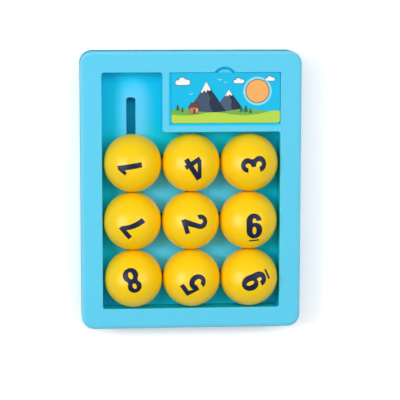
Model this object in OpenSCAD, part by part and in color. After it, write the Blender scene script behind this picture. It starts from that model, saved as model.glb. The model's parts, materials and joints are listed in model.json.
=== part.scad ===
// Sliding ball puzzle. Nine numbered balls stand in a shallow case, each on a pivot that runs in a
// grid of slots, so they slide from cell to cell, turn on the spot and cannot fall out.
// One cell of the left column is free, and a lift-out picture card fills the panel beside it.
// The origin is the middle of the underside, +Y points to the card end, +Z out of the face.

/* [Balls] */
// Diameter of a ball
ball_d = 25; // [22:0.5:30]
// Height of a ball's middle above its flat underside
ball_seat_h = 5.3; // [4.5:0.1:7]
// Gap between neighbouring balls
ball_gap = 0.15; // [0.1:0.05:0.3]
// Running gap between a ball's underside and the track
ball_lift = 0.2; // [0.1:0.05:0.4]
// Wall left round the hollow that is cored into a ball
ball_wall = 1.8; // [1.2:0.1:2.6]
// Width of the ring that a ball stands on
ball_foot_w = 2.8; // [2:0.1:3.6]
// Diameter of the boss that takes the pivot screw inside a ball
ball_boss_d = 6; // [4.5:0.1:8]

/* [Case] */
// Room that a cell leaves round its ball, both sides together
cell_play = 0.5; // [0.4:0.05:1]
// Width of the rim along the two long sides
rim_side = 9.25; // [8.8:0.05:14]
// Width of the rim at the two ends
rim_end = 9; // [8.8:0.05:14]
// Depth of the pocket from the face to the track
pocket_depth = 9.5; // [8:0.1:12]
// Radius of the four outer corners
corner_r = 5.5; // [4:0.1:8]
// Rounding of the outer edges
edge_r = 2; // [1:0.1:2.2]
// Radius of the pocket's corners
pocket_r = 1; // [0.5:0.1:2]
// Side and pocket wall
wall = 1.8; // [1.4:0.1:2.2]
// Thickness of the face
face_t = 2; // [1.6:0.1:2.6]

/* [Back cover] */
// Floor of the back cover
cover_t = 2; // [1.8:0.1:3]
// Height of the back cover's side wall
cover_h = 4; // [3.4:0.1:5]
// Shadow gap between the cover and the front frame
seam = 0.2; // [0.1:0.05:0.4]
// Thickness of the lip that centres the cover in the frame
lip_t = 1.2; // [0.8:0.1:1.6]
// Height of that lip above the seam
lip_h = 1.6; // [1:0.1:3]
// Clearance round the lip and the bosses
fit_gap = 0.1; // [0.05:0.05:0.3]

/* [Track] */
// Width of the slots
slot_w = 4; // [3.4:0.1:5]
// Radius of the slot's corners at its end in the free cell
slot_r = 1.3; // [0.8:0.1:1.6]
// Thickness of the track plate and its islands
plate_t = 2; // [1.6:0.1:3]
// Width of the plate's edge that is held between the pocket wall and the cover's rib
plate_seat = 1.4; // [0.8:0.1:1.6]
// Height of the space under the track
track_h = 4; // [3.6:0.1:6]
// Radius of the islands' corners
island_r = 1; // [0.5:0.1:2]
// Diameter of an island's post
post_d = 11; // [8:0.5:12]

/* [Pivots] */
// Diameter of a glide's flange
flange_d = 9; // [7:0.1:11]
// Thickness of that flange
flange_t = 1.4; // [1:0.1:1.6]
// Diameter of a glide's neck
neck_d = 2.8; // [2.6:0.1:3.2]
// Gap above the flange, and between the neck and the ball's boss
glide_gap = 0.2; // [0.1:0.05:0.3]
// Gap between the neck and the slot's end in the free cell
slot_end_gap = 0.15; // [0.1:0.05:0.3]
// Diameter of a pivot screw's shank
pivot_d = 1.6; // [1.4:0.1:1.8]
// Diameter of a pivot screw's head
pivot_head_d = 4; // [3:0.1:5]
// Height of a pivot screw's head
pivot_head_h = 1.2; // [0.8:0.1:1.3]
// Running gap under a pivot screw's head
pivot_gap = 0.1; // [0.05:0.05:0.2]
// Length of thread in a ball's boss
pivot_grip = 5; // [3:0.1:6]

/* [Picture card] */
// Rounding of the panel's free corner
panel_r = 1.2; // [0.6:0.1:2]
// Width of the level strip along the panel's two open sides
strip_w = 2.35; // [2:0.05:3]
// Width of the bevel inside that strip
bevel_w = 1.3; // [0.6:0.05:2]
// Thickness of the card
card_t = 0.8; // [0.5:0.1:1]
// Depth of the card's top below the face
card_drop = 0.6; // [0.4:0.1:0.8]
// Clearance round the card
card_gap = 0.15; // [0.1:0.05:0.3]
// Radius of the card's corners
card_r = 0.8; // [0.4:0.1:2]
// Thickness of the panel under the card
panel_t = 1.6; // [1.4:0.1:2.4]
// Radius of the thumb notch at the face
notch_r = 5.7; // [5.2:0.1:6.4]
// Radius of the thumb notch at its bottom
notch_floor_r = 4.2; // [3.6:0.1:4.8]
// Depth of the thumb notch
notch_depth = 2; // [1.6:0.1:2.2]
// Distance of the notch's middle from the middle of the case, across
notch_x = 14.3; // [6:0.1:22]
// Distance of the notch's middle inside the pocket's end
notch_in = 3.1; // [2.6:0.1:3.5]

/* [Screws] */
// Diameter of the bosses for the case screws
boss_d = 5; // [4.4:0.1:5.2]
// Diameter of a screw's shank
screw_d = 2; // [1.6:0.1:2.2]
// Length of a case screw's shank
case_screw_l = 8; // [5:0.5:11]
// Length of an island screw's shank
island_screw_l = 4.6; // [3:0.1:5]
// Diameter of a screw's head
head_d = 4.2; // [3.6:0.1:4.6]
// Height of a screw's head
head_h = 1; // [0.8:0.1:1.1]
// Depth of a screw's head below the underside
head_sink = 0.2; // [0.1:0.05:0.3]
// Gap round a screw's head
head_gap = 0.4; // [0.2:0.1:0.6]
// Radial gap between a shank and its hole
shank_gap = 0.05; // [0.03:0.01:0.1]
// Width of the cross recess in a head
cross_w = 0.6; // [0.4:0.1:0.8]
// Depth of the cross recess
cross_depth = 0.6; // [0.4:0.1:0.7]
// Share of the head that the cross recess spans
cross_span = 0.62; // [0.5:0.01:0.7]

/* [Hidden] */
$fn = 64;
// Numbers on the balls as they lie, from the row below the free cell down
layout = [[1, 4, 3], [7, 2, 6], [8, 5, 9]];
columns = len(layout[0]);
rows = len(layout);

case_blue = "#66D2F2";
ball_yellow = "#FDD01E";
acetal_white = "#E9ECEC";
steel_grey = "#B4B8BC";
card_blue = "#1CBDE6";

// Overlap that keeps cuts and joined shapes from ending on one plane
over = 0.5;

// Grid, with one more row of cells than there are rows of balls
cell = ball_d + cell_play;
pocket_w = columns * cell;
pocket_l = (rows + 1) * cell;
case_w = pocket_w + 2 * rim_side;
case_l = pocket_l + 2 * rim_end;
pocket_right = pocket_w / 2;
pocket_end = pocket_l / 2;
free_x = -pocket_right + cell / 2;
free_y = pocket_end - cell / 2;
last_y = cell / 2 - pocket_end;

// Levels
track_z = cover_t + track_h;
floor_z = track_z + plate_t;
face_z = floor_z + pocket_depth;
skin_z = face_z - face_t;
frame_low_z = cover_h + seam;
ball_base_z = floor_z + ball_lift;
ball_mid_z = ball_base_z + ball_seat_h;
flange_z = track_z - glide_gap - flange_t;
boss_low_z = ball_base_z + glide_gap;
neck_top_z = boss_low_z - glide_gap / 2;
pivot_head_z = flange_z - pivot_gap;
card_top_z = face_z - card_drop;
recess_z = card_top_z - card_t;
panel_low_z = recess_z - panel_t;

// Balls rest close together and down on the last row, as far as their necks' play in the slots lets them
side_play = (slot_w - neck_d) / 2;
draw_in = min(cell_play - ball_gap, 0.6 * side_play);
pitch_x = cell - draw_in;
pitch_y = ball_d + ball_gap;
// Share of the play left over that each row has moved sideways
row_shift = [0, -0.8, 0.8];

// Hollow in a ball
ball_r = ball_d / 2;
foot_r = sqrt(pow(ball_r, 2) - pow(ball_seat_h, 2));
core_r = foot_r - ball_foot_w;
core_h = sqrt(pow(ball_r - ball_wall, 2) - pow(core_r, 2));

// Card panel: two cells wide, moved over a little so that the ball clears it in the free cell
panel_gap = cell_play / 2;
panel_x = free_x + cell / 2 + panel_gap;
panel_y = pocket_end - cell;
recess_x = panel_x + strip_w + bevel_w;
recess_y = panel_y + strip_w + bevel_w;
notch_y = pocket_end - notch_in;

// Fasteners
boss_x = pocket_right + rim_side / 2;
boss_y = pocket_end + rim_end / 2;
boss_places = [for (x = [-boss_x, boss_x], y = [-boss_y, 0, boss_y]) [x, y]];
island_w = cell - slot_w;
island_places = [for (r = [0:rows - 2], c = [0:columns - 2])
    [free_x + (c + 0.5) * cell, last_y + (rows - 1.5 - r) * cell]];
pilot_d = screw_d + 2 * shank_gap;
pivot_bore_d = pivot_d + 2 * shank_gap;
sink_d = head_d + 2 * head_gap;

// Every ball as [number, x, y]
balls = [for (r = [0:rows - 1], c = [0:columns - 1])
    [layout[r][c],
     (c - (columns - 1) / 2) * pitch_x + row_shift[r] * (side_play - draw_in),
     last_y + (rows - 1 - r) * pitch_y]];

// Flat rectangle between two corners with round corners
module round_rect(low, high, r) {
    translate([low.x + r, low.y]) square([high.x - low.x - 2 * r, high.y - low.y]);
    translate([low.x, low.y + r]) square([high.x - low.x, high.y - low.y - 2 * r]);
    for (x = [low.x + r, high.x - r], y = [low.y + r, high.y - r]) translate([x, y]) circle(r);
}

// Flat rectangle with round corners, centred
module centred_rect(w, l, r) {
    round_rect([-w / 2, -l / 2], [w / 2, l / 2], r);
}

// Upright section of a slab from its inside out to its rounded upper edge
module edge_section(reach, h) {
    square([reach, h - edge_r]);
    square([reach - edge_r, h]);
    translate([reach - edge_r, h - edge_r]) circle(edge_r);
}

// The case's outline as a slab of height h with its upper edge rounded all the way round
module soft_slab(h) {
    straight_x = case_w / 2 - corner_r;
    straight_y = case_l / 2 - corner_r;
    for (turn = [0, 180]) {
        rotate(turn) translate([0, straight_y, 0]) rotate([90, 0, 0])
            linear_extrude(2 * straight_y) edge_section(case_w / 2, h);
        rotate(turn) translate([-straight_x, straight_y, 0]) rotate([90, 0, 90])
            linear_extrude(2 * straight_x) edge_section(corner_r, h);
    }
    for (turn = [0, 180]) {
        rotate(turn) translate([straight_x, straight_y, 0])
            rotate_extrude(angle = 90) edge_section(corner_r, h);
        rotate(turn) translate([-straight_x, straight_y, 0])
            rotate([0, 0, 90]) rotate_extrude(angle = 90) edge_section(corner_r, h);
    }
}

// Flat outline of the pocket: the cells of the balls and the free cell above the left column
module pocket_outline(grow) {
    r = pocket_r + grow;
    round_rect([-pocket_right - grow, -pocket_end - grow], [pocket_right + grow, panel_y + grow], r);
    round_rect([-pocket_right - grow, panel_y - cell], [panel_x + grow, pocket_end + grow], r);
}

// What the pocket removes from the face, with the panel's free corner rounded
module pocket_cut() {
    pocket_outline(0);
    translate([panel_x, panel_y]) difference() {
        translate([-over, -over]) square([panel_r + over, panel_r + over]);
        translate([panel_r, panel_r]) circle(panel_r);
    }
}

// Room for the card, with a bevel along the panel's two open sides
module card_recess() {
    top_z = face_z + over;
    slope = bevel_w / card_drop;
    reach = slope * (top_z - card_top_z);
    translate([recess_x, recess_y, recess_z])
        cube([pocket_right - recess_x, pocket_end - recess_y, top_z - recess_z]);
    intersection() {
        translate([0, pocket_end, 0]) rotate([90, 0, 0]) linear_extrude(2 * pocket_end)
            polygon([[recess_x, card_top_z], [pocket_right, card_top_z],
                     [pocket_right, top_z], [recess_x - reach, top_z]]);
        translate([-pocket_right, 0, 0]) rotate([90, 0, 90]) linear_extrude(2 * pocket_right)
            polygon([[recess_y, card_top_z], [pocket_end, card_top_z],
                     [pocket_end, top_z], [recess_y - reach, top_z]]);
    }
}

// Conical scoop that lets a fingertip under the card
module thumb_notch() {
    slope = (notch_r - notch_floor_r) / notch_depth;
    translate([notch_x, notch_y, face_z - notch_depth])
        cylinder(r1 = notch_floor_r, r2 = notch_r + slope * over, h = notch_depth + over);
}

// Screw standing on its head, head down at z = 0, with a cross recess from below
module screw(shank_d, shank_l, d, h) {
    difference() {
        union() {
            cylinder(d = d, h = h);
            cylinder(d = shank_d, h = h + shank_l);
        }
        for (turn = [0, 90]) rotate(turn)
            translate([-cross_span * d / 2, -cross_w / 2, -over])
                cube([cross_span * d, cross_w, cross_depth + over]);
    }
}

// Front half of the case: rim, pocket walls, card panel and screw bosses
module front_frame() color(case_blue) difference() {
    union() {
        difference() {
            translate([0, 0, frame_low_z]) soft_slab(face_z - frame_low_z);
            translate([0, 0, frame_low_z - over]) linear_extrude(skin_z - frame_low_z + over)
                centred_rect(case_w - 2 * wall, case_l - 2 * wall, corner_r - wall);
        }
        translate([0, 0, floor_z]) linear_extrude(skin_z - floor_z + over) pocket_outline(wall);
        translate([panel_x, panel_y, panel_low_z])
            cube([pocket_right + wall - panel_x, pocket_end + wall - panel_y, skin_z + over - panel_low_z]);
        for (p = boss_places) translate([p.x, p.y, cover_t])
            cylinder(d = boss_d, h = skin_z + over - cover_t);
    }
    translate([0, 0, floor_z - over]) linear_extrude(pocket_depth + 2 * over) pocket_cut();
    card_recess();
    thumb_notch();
    for (p = boss_places) translate([p.x, p.y, cover_t - over])
        cylinder(d = pilot_d, h = case_screw_l + over);
}

// Floor of the pocket, with the opening for the grid of slots and the slot into the free cell
module track_plate() color(case_blue) difference() {
    translate([0, 0, track_z]) linear_extrude(plate_t)
        centred_rect(pocket_w + 2 * plate_seat, pocket_l + 2 * plate_seat, pocket_r);
    translate([0, 0, track_z - over]) linear_extrude(plate_t + 2 * over) {
        grid_x = -free_x + slot_w / 2;
        round_rect([-grid_x, last_y - slot_w / 2], [grid_x, free_y - cell + slot_w / 2], slot_r);
        round_rect([free_x - slot_w / 2, last_y], [free_x + slot_w / 2, free_y + neck_d / 2 + slot_end_gap],
                   slot_r);
    }
}

// One square of floor between four slots, on a post that stands on the back cover
module track_island(place) color(case_blue) translate([place.x, place.y, 0]) difference() {
    union() {
        translate([0, 0, track_z]) linear_extrude(plate_t) centred_rect(island_w, island_w, island_r);
        translate([0, 0, cover_t]) cylinder(d = post_d, h = track_h + over);
    }
    translate([0, 0, cover_t - over]) cylinder(d = pilot_d, h = island_screw_l + over);
}

// Back half of the case: a tray with a rib under the track plate and a lip inside the frame
module back_cover() color(case_blue) difference() {
    union() {
        difference() {
            translate([0, 0, cover_h]) mirror([0, 0, 1]) soft_slab(cover_h);
            translate([0, 0, cover_t]) linear_extrude(cover_h)
                centred_rect(case_w - 2 * wall, case_l - 2 * wall, corner_r - wall);
        }
        translate([0, 0, cover_t - over]) linear_extrude(track_h + over) difference() {
            centred_rect(pocket_w + 2 * plate_seat, pocket_l + 2 * plate_seat, pocket_r);
            centred_rect(pocket_w, pocket_l, pocket_r);
        }
        translate([0, 0, cover_t - over])
            linear_extrude(frame_low_z + lip_h - cover_t + over) difference() {
            lip_inset = wall + fit_gap;
            centred_rect(case_w - 2 * lip_inset, case_l - 2 * lip_inset, corner_r - lip_inset);
            centred_rect(case_w - 2 * (lip_inset + lip_t), case_l - 2 * (lip_inset + lip_t),
                         corner_r - lip_inset - lip_t);
        }
    }
    for (p = boss_places) translate([p.x, p.y, cover_t])
        cylinder(d = boss_d + 2 * fit_gap, h = frame_low_z + lip_h);
    for (p = concat(boss_places, island_places)) translate([p.x, p.y, -over]) {
        cylinder(d = pilot_d, h = cover_t + 2 * over);
        cylinder(d = sink_d, h = over + head_sink + head_h);
    }
}

// Printed card that lies loose in the panel
module picture_card() color(card_blue) translate([0, 0, recess_z]) linear_extrude(card_t)
    round_rect([recess_x + card_gap, recess_y + card_gap], [pocket_right - card_gap, pocket_end - card_gap],
               card_r);

// Six screws that hold the back cover to the front frame
module case_screws() color(steel_grey) for (p = boss_places) translate([p.x, p.y, head_sink])
    screw(screw_d, case_screw_l - head_sink - head_h, head_d, head_h);

// Four screws that hold the islands to the back cover
module island_screws() color(steel_grey) for (p = island_places) translate([p.x, p.y, head_sink])
    screw(screw_d, island_screw_l - head_sink - head_h, head_d, head_h);

// Ball, cut flat underneath and cored round a boss
module ball(place) color(ball_yellow) translate([place.x, place.y, ball_mid_z]) difference() {
    sphere(ball_r);
    translate([0, 0, -ball_seat_h - ball_d]) cylinder(r = ball_d, h = ball_d);
    translate([0, 0, -ball_seat_h - over]) difference() {
        cylinder(r = core_r, h = core_h + ball_seat_h + over);
        translate([0, 0, boss_low_z - ball_base_z + over])
            cylinder(d = ball_boss_d, h = core_h + ball_seat_h);
    }
    translate([0, 0, -ball_seat_h]) cylinder(d = pivot_bore_d, h = glide_gap + pivot_grip + over);
}

// Flanged bush that rides in the slot and keeps the ball from lifting out
module glide(place) color(acetal_white) translate([place.x, place.y, 0]) difference() {
    union() {
        translate([0, 0, flange_z]) cylinder(d = flange_d, h = flange_t);
        translate([0, 0, flange_z]) cylinder(d = neck_d, h = neck_top_z - flange_z);
    }
    translate([0, 0, flange_z - over]) cylinder(d = pivot_bore_d, h = neck_top_z - flange_z + 2 * over);
}

// Screw that a ball turns with, through its glide from below
module pivot_screw(place) color(steel_grey) translate([place.x, place.y, pivot_head_z - pivot_head_h])
    screw(pivot_d, boss_low_z + pivot_grip - pivot_head_z, pivot_head_d, pivot_head_h);

front_frame();
track_plate();
back_cover();
picture_card();
case_screws();
island_screws();
for (i = [1:len(island_places)])
    track_island(island_places[i - 1]);
for (b = balls) {
    place = [b[1], b[2]];
    ball(place);
    glide(place);
    pivot_screw(place);
}
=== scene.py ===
import json
from math import asin, cos, degrees, radians, sin, sqrt

import bmesh
import bpy
from mathutils import Matrix, Vector


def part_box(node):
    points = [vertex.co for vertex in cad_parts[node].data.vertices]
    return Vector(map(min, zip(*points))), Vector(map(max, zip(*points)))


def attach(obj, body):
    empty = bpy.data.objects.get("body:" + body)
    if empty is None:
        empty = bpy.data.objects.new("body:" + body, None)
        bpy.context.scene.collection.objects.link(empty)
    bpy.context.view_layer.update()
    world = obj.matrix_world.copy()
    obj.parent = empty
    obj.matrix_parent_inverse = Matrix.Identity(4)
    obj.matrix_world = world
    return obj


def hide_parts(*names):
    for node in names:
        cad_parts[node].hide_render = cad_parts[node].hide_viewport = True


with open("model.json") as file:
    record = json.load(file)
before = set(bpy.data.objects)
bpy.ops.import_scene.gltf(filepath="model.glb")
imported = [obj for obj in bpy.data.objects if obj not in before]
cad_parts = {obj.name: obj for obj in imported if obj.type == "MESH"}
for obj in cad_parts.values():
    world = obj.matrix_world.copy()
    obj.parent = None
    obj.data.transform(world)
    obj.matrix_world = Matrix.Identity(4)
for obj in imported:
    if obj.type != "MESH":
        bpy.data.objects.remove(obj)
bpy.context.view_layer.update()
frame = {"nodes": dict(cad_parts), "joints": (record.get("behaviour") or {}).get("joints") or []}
scene = bpy.context.scene

# Front frame: the upper half of the case, one injection moulding in satin sky-blue plastic with the rim,
# the pocket walls and the card panel. Its mould leaves every crisp edge a little round, and six bosses
# inside it take the screws from the back.
mm = 0.001
case_blue = (0.004, 0.560, 0.860, 1)
# Painted sheen colour: the face is painted in it as a painted reflection of the white room.
sheen_blue = (0.120, 0.608, 0.852, 1)
# Painted highlight colour for the rounded edges.
highlight_blue = (0.260, 0.790, 1.000, 1)
flow_tint = (0.72, 0.82, 0.90, 1)
white = (1, 1, 1, 1)
case_shine = 0.10
case_grain = 0.004 * mm
crease = radians(35)
join_gap, flat_angle = 0.002 * mm, radians(0.6)
face_top = 17.5 * mm
rim_round = 0.5 * mm
panel_round = 0.6 * rim_round
pocket_x, pocket_y, pocket_r = 38.25 * mm, 51 * mm, 1 * mm
panel_x, panel_y, panel_r = -12.5 * mm, 25.5 * mm, 1.2 * mm
panel_card_x, panel_card_y = -8 * mm, 30 * mm


def add_node(tree, kind, inputs=None, **settings):
    """New node with its settings made; an input takes a value, a socket, or a list of sockets."""
    node = tree.nodes.new(kind)
    for name, value in settings.items():
        setattr(node, name, value)
    for name, value in (inputs or {}).items():
        for one in value if isinstance(value, list) else [value]:
            if isinstance(one, bpy.types.NodeSocket):
                tree.links.new(one, node.inputs[name])
            else:
                node.inputs[name].default_value = one
    return node


def made(tree, kind, inputs=None, out=0, **settings):
    """A new node's first output, or the output that is asked for."""
    return add_node(tree, kind, inputs, **settings).outputs[out]


def maths(tree, operation, *values):
    """Sum worked out on values and sockets, as a socket."""
    return made(tree, "ShaderNodeMath", dict(enumerate(values)), operation=operation)


def vectors(tree, operation, *values, out="Vector"):
    """Sum worked out on vectors, as a socket."""
    return made(tree, "ShaderNodeVectorMath", dict(enumerate(values)), out, operation=operation)


def mixed(tree, share, one, other, **settings):
    """Share of one colour in another, as a socket."""
    return made(tree, "ShaderNodeMix", {0: share, 6: one, 7: other}, 2, data_type="RGBA", **settings)


def own_place(tree):
    """Place in the object's own frame, as a socket."""
    return made(tree, "ShaderNodeTexCoord", out="Object")


def noise(tree, place, scale, detail):
    """Cloudy value over a place, as a socket."""
    return made(tree, "ShaderNodeTexNoise", {"Vector": place, "Scale": scale, "Detail": detail})


def add_tree(name, kind, inputs, outputs):
    """Node group with named inputs, each (name, type, value), and outputs, each (name, type)."""
    tree = bpy.data.node_groups.new(name, kind)
    for label, socket_type, value in inputs:
        socket = tree.interface.new_socket(label, in_out="INPUT", socket_type="NodeSocket" + socket_type)
        if value is not None:
            socket.default_value = value
    for label, socket_type in outputs:
        tree.interface.new_socket(label, in_out="OUTPUT", socket_type="NodeSocket" + socket_type)
    return tree, tree.nodes.new("NodeGroupInput").outputs, tree.nodes.new("NodeGroupOutput").inputs


# Skin of a moulded piece: slow flow marks in the colour, streaks in the gloss, a fine grain, and painted
# light:
# a paler tone put on in streaks where a material asks for it, palest as a painted highlight on edges that
# turn away from up.
skin, skin_in, skin_out = add_tree(
    "moulded_skin", "ShaderNodeTree",
    [("Colour", "Color", white), ("Tint", "Float", 0.2), ("Roughness", "Float", 0.3),
     ("Spread", "Float", 0.1), ("Painted Light", "Float", 0.0), ("Painted Light Colour", "Color", white),
     ("Highlight Colour", "Color", white)],
    [("Colour", "Color"), ("Roughness", "Float"), ("Height", "Float")])
skin_place = own_place(skin)
skin_flow = noise(skin, skin_place, scale=70, detail=3)
skin_streak = made(skin, "ShaderNodeMapping",
                   {"Vector": skin_place, "Rotation": (0.2, 0.3, 0.6), "Scale": (1, 12, 3)})
skin_streaks = noise(skin, skin_streak, scale=150, detail=4)
skin_grain = noise(skin, skin_place, scale=2600, detail=2)
skin_share = maths(skin, "MULTIPLY", skin_flow, skin_in["Tint"])
skin_deep = mixed(skin, 1.0, skin_in["Colour"], flow_tint, blend_type="MULTIPLY")
skin_flowed = mixed(skin, skin_share, skin_in["Colour"], skin_deep)
skin_light_streaks = made(skin, "ShaderNodeMapRange",
                 {"Value": skin_streaks, "From Min": 0.2, "From Max": 0.7, "To Min": 0.85})
skin_painted_light = maths(skin, "MULTIPLY", skin_in["Painted Light"], skin_light_streaks)
skin_lit = mixed(skin, skin_painted_light, skin_flowed, skin_in["Painted Light Colour"])
# Painted highlight: where the paler tone is painted, surfaces that turn away from up, the rounded edges,
# take the edge colour.
skin_normal = made(skin, "ShaderNodeNewGeometry", out="Normal")
skin_facing = made(skin, "ShaderNodeSeparateXYZ", {"Vector": skin_normal}, "Z")
skin_turned = made(skin, "ShaderNodeMapRange", {"Value": skin_facing, "From Min": 0.998, "From Max": 0.55})
skin_edge_highlight = maths(skin, "MULTIPLY", skin_turned, skin_painted_light)
skin_colour = mixed(skin, skin_edge_highlight, skin_lit, skin_in["Highlight Colour"])
skin_gloss = maths(skin, "MULTIPLY_ADD", skin_streaks, skin_in["Spread"], skin_in["Roughness"])
skin.links.new(skin_colour, skin_out["Colour"])
skin.links.new(skin_gloss, skin_out["Roughness"])
skin.links.new(skin_grain, skin_out["Height"])


def dressed(name, group, values, shine, grain):
    """Material whose colour, gloss and grain come from a group; grain is its depth in metres."""
    material = bpy.data.materials.new(name)
    material.use_nodes = True
    tree = material.node_tree
    shader = tree.nodes["Principled BSDF"]
    shader.inputs["Specular IOR Level"].default_value = shine
    look = add_node(tree, "ShaderNodeGroup", values, node_tree=group, name="look").outputs
    bump = made(tree, "ShaderNodeBump", {"Height": look["Height"], "Distance": grain})
    tree.links.new(look["Colour"], shader.inputs["Base Color"])
    tree.links.new(look["Roughness"], shader.inputs["Roughness"])
    tree.links.new(bump, shader.inputs["Normal"])
    return material


def add_piece(name, data, material=None):
    """Object at the origin that shows a mesh or a curve, in one material where one is given."""
    if material:
        data.materials.clear()
        data.materials.append(material)
    piece = bpy.data.objects.new(name, data)
    scene.collection.objects.link(piece)
    return piece


def plain_mesh(maker):
    """Plain mesh of what a maker's modifiers give; the maker goes."""
    depsgraph = bpy.context.evaluated_depsgraph_get()
    mesh = bpy.data.meshes.new_from_object(maker.evaluated_get(depsgraph))
    bpy.data.objects.remove(maker)
    return mesh


def solid_copy(node):
    """Copy of a solid's mesh, its loose triangles joined and each flat side made one face."""
    mesh = frame["nodes"][node].data.copy()
    mesh.attributes.remove(mesh.attributes["custom_normal"])
    shape = bmesh.new()
    shape.from_mesh(mesh)
    bmesh.ops.remove_doubles(shape, verts=shape.verts, dist=join_gap)
    bmesh.ops.dissolve_limit(shape, angle_limit=flat_angle, verts=shape.verts, edges=shape.edges)
    shape.to_mesh(mesh)
    shape.free()
    return mesh


def smoothed(name, mesh, material):
    """Piece shaded smooth, with its flat sides kept flat and its corners kept crisp."""
    mesh.shade_smooth()
    mesh.set_sharp_from_angle(angle=crease)
    maker = add_piece(name + "_maker", mesh)
    normals = maker.modifiers.new("flat_sides", "WEIGHTED_NORMAL")
    normals.keep_sharp = True
    return add_piece(name, plain_mesh(maker), material)


def arc(cx, cy, rx, ry, start, end, steps=16):
    """Points along part of an ellipse, from one angle to another in degrees."""
    turns = [radians(start + (end - start) * i / steps) for i in range(steps + 1)]
    return [(cx + rx * cos(turn), cy + ry * sin(turn)) for turn in turns]


def cornered(corners, steps=6):
    """Path round right-angled corners, each (x, y, radius); a radius of 0 leaves the corner sharp."""
    path = []
    for i, (x, y, radius) in enumerate(corners):
        corner = Vector((x, y))
        back = (Vector(corners[i - 1][:2]) - corner).normalized()
        ahead = (Vector(corners[(i + 1) % len(corners)][:2]) - corner).normalized()
        turns = arc(0, 0, radius, radius, 0, 90, steps) if radius else [(0, 0)]
        path += [corner + (radius - along) * ahead + (radius - aside) * back for along, aside in turns]
    return path


def widened(path, reach):
    """Anticlockwise path moved outwards by a reach."""
    moved = []
    for i, point in enumerate(path):
        before = (point - path[i - 1]).normalized()
        after = (path[(i + 1) % len(path)] - point).normalized()
        out_before = Vector((before.y, -before.x))
        out_after = Vector((after.y, -after.x))
        moved.append(point + reach * (out_before + out_after) / (1 + out_before.dot(out_after)))
    return moved


# The cutter's round goes through these angles, then clears the face by these shares of its radius.
cutter_turns = [radians(angle) for angle in range(10, 90, 16)]
cutter_out, cutter_up = 1.3, 0.2


def rim_cutter(path, top, radius):
    """Solid that rounds the upper edge of an opening with this path when it is cut away."""
    steps = [(-radius, top - radius)]
    steps += [(radius * (1 - cos(turn)), top - radius * (1 - sin(turn))) for turn in cutter_turns]
    steps += [(cutter_out * radius, top + cutter_up * radius), (cutter_out * radius, top + radius)]
    rings = [[(*point, height) for point in widened(path, reach)] for reach, height in steps]
    count = len(path)
    faces = [[ring * count + i, ring * count + (i + 1) % count,
              (ring + 1) * count + (i + 1) % count, (ring + 1) * count + i]
             for ring in range(len(steps) - 1) for i in range(count)]
    faces += [list(range(count))[::-1], [(len(steps) - 1) * count + i for i in range(count)]]
    mesh = bpy.data.meshes.new("rim_cutter")
    mesh.from_pydata([point for ring in rings for point in ring], [], faces)
    return add_piece("rim_cutter", mesh)


def rimmed_copy(node, name, rims, material):
    """Copy of a solid with the upper edges of some openings rounded; rims are (path, top, radius)."""
    maker = add_piece(name + "_maker", solid_copy(node))
    cutters = [rim_cutter(*rim) for rim in rims]
    for cutter in cutters:
        cut = maker.modifiers.new("rim", "BOOLEAN")
        cut.operation = "DIFFERENCE"
        cut.solver = "EXACT"
        cut.object = cutter
    mesh = plain_mesh(maker)
    for cutter in cutters:
        bpy.data.objects.remove(cutter)
    return smoothed(name, mesh, material)


def fit(piece, body, slot, *nodes):
    """Fixes a piece to its body, and hides the solids it stands for; the finish it takes is not used."""
    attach(piece, body)
    if nodes:
        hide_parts(*nodes)


def blue_plastic(name, colour, light_colour):
    """Case plastic, painted paler where a painted sheen or edge highlight is put on it."""
    values = {"Colour": colour, "Tint": 0.10, "Roughness": 0.55, "Spread": 0.15,
              "Painted Light Colour": light_colour, "Highlight Colour": highlight_blue}
    return dressed(name, skin, values, case_shine, case_grain)


def plan_place(tree):
    """Place on plan and height, as two sockets of a material's tree."""
    place = own_place(tree)
    height = made(tree, "ShaderNodeSeparateXYZ", {"Vector": place}, "Z")
    return vectors(tree, "MULTIPLY", place, (1, 1, 0)), height


def ramp(tree, value, none, full):
    """Soft step of a value from none to full, as a socket of a material's tree."""
    return made(tree, "ShaderNodeMapRange", {"Value": value, "From Min": none, "From Max": full},
                interpolation_type="SMOOTHSTEP")


def paint_light(material, share):
    """Paints a blue plastic paler, as a painted sheen and edge highlight, by a share that varies over it."""
    material.node_tree.links.new(share, material.node_tree.nodes["look"].inputs["Painted Light"])


# The face and the flat floor of the thumb notch are painted paler, a painted reflection of the white room,
# and a band along the outer edges is painted paler as a painted highlight. Each begins at the first of two
# heights and is full at the second.
face_sheen = (17.2 * mm, 17.46 * mm)
notch_sheen = (15.0 * mm, 15.45 * mm)
edge_highlight = (14.6 * mm, 16.4 * mm)
notch_x, notch_y, notch_floor_r = 14.3 * mm, 47.9 * mm, 4.2 * mm
notch_fade_r = 1.05 * notch_floor_r
case_half_w, case_half_l, corner_r = 47.5 * mm, 60 * mm, 5.5 * mm
band_w, band_full_w = 2.4 * mm, 1.92 * mm
case_plastic = blue_plastic("case_plastic", case_blue, sheen_blue)
case_tree = case_plastic.node_tree
case_plan, case_height = plan_place(case_tree)
face_sheen_share = ramp(case_tree, case_height, *face_sheen)
notch_away = vectors(case_tree, "DISTANCE", case_plan, (notch_x, notch_y, 0), out="Value")
notch_near = ramp(case_tree, notch_away, notch_fade_r, notch_floor_r)
notch_sheen_share = maths(case_tree, "MULTIPLY", notch_near, ramp(case_tree, case_height, *notch_sheen))
case_reach = vectors(case_tree, "ABSOLUTE", case_plan)
case_past = vectors(case_tree, "SUBTRACT", case_reach, (case_half_w - corner_r, case_half_l - corner_r, 0))
case_beyond = vectors(case_tree, "MAXIMUM", case_past, (0, 0, 0))
case_out = vectors(case_tree, "LENGTH", case_beyond, out="Value")
edge_near = ramp(case_tree, case_out, corner_r - band_w, corner_r - band_full_w)
edge_highlight_share = maths(case_tree, "MULTIPLY", edge_near, ramp(case_tree, case_height, *edge_highlight))
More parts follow.
